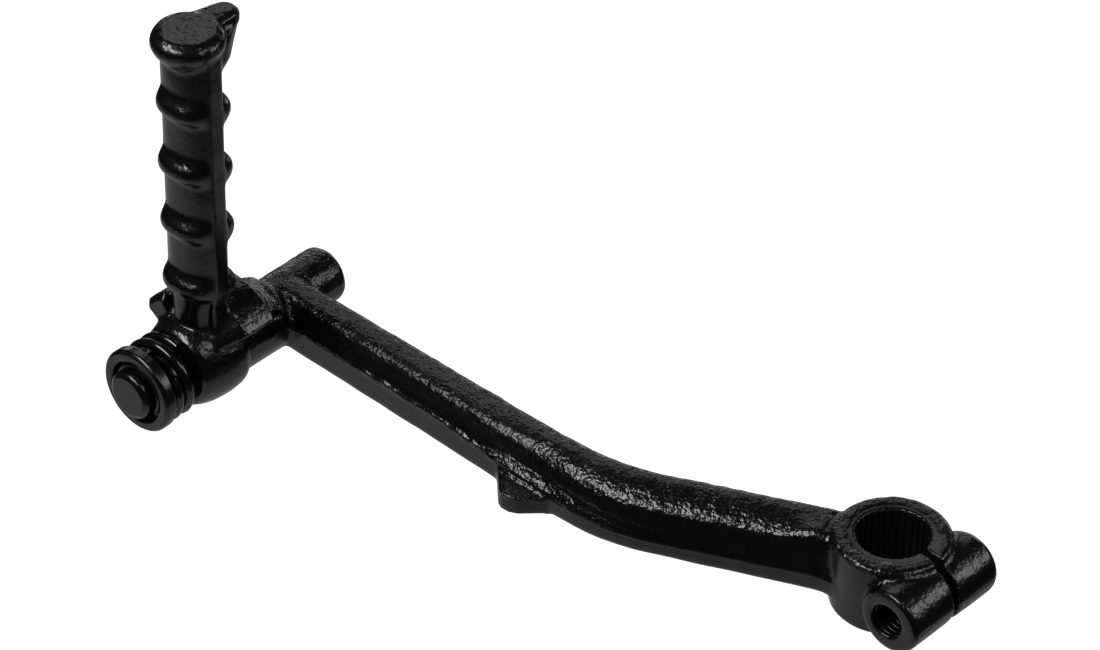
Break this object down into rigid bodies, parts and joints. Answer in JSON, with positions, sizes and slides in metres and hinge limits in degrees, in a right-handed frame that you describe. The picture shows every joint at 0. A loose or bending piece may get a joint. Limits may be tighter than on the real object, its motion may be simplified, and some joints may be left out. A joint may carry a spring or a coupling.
{
  "type": "kick start lever",
  "caption": "Forged kick start lever with a slit splined clamp, a bent arm and a ribbed pedal that folds beside the arm",
  "frame": {"origin": "centre of the clamp's lower face, on the axis of the splined bore, where the lever seats on its shaft", "axes": "+Z along the splined bore and up the raised pedal, +X along the straight bar from the pedal towards the clamp, +Y from the washer end of the pedal's pivot towards the stub"},
  "size_m": [0.1789, 0.0816, 0.0929],
  "materials": {
    "arm_enamel": "gloss black enamel over forged steel",
    "pedal_enamel": "gloss black enamel over cast steel",
    "spring_steel": "black oxide spring wire",
    "washer_steel": "smooth black enamel over turned steel",
    "ring_steel": "black oxide wire"
  },
  "bodies": {
    "arm": {"arm": "arm_enamel", "washer": "washer_steel", "retaining_ring": "ring_steel"},
    "spring": {"spring": "spring_steel"},
    "pedal": {"pedal": "pedal_enamel"}
  },
  "joints": [
    {"name": "pedal_pull_out", "type": "slide", "parent": "arm", "child": "spring", "axis": [0, -1, 0], "range_m": [0, 0.001], "stiffness_N_per_m": 30000, "springref_m": -0.001, "deforming": ["spring"]},
    {"name": "pedal_fold", "type": "hinge", "parent": "spring", "child": "pedal", "pos_m": [-0.149, -0.0661, 0.009], "axis": [0, 1, 0], "range_deg": [0, 90]}
  ]
}
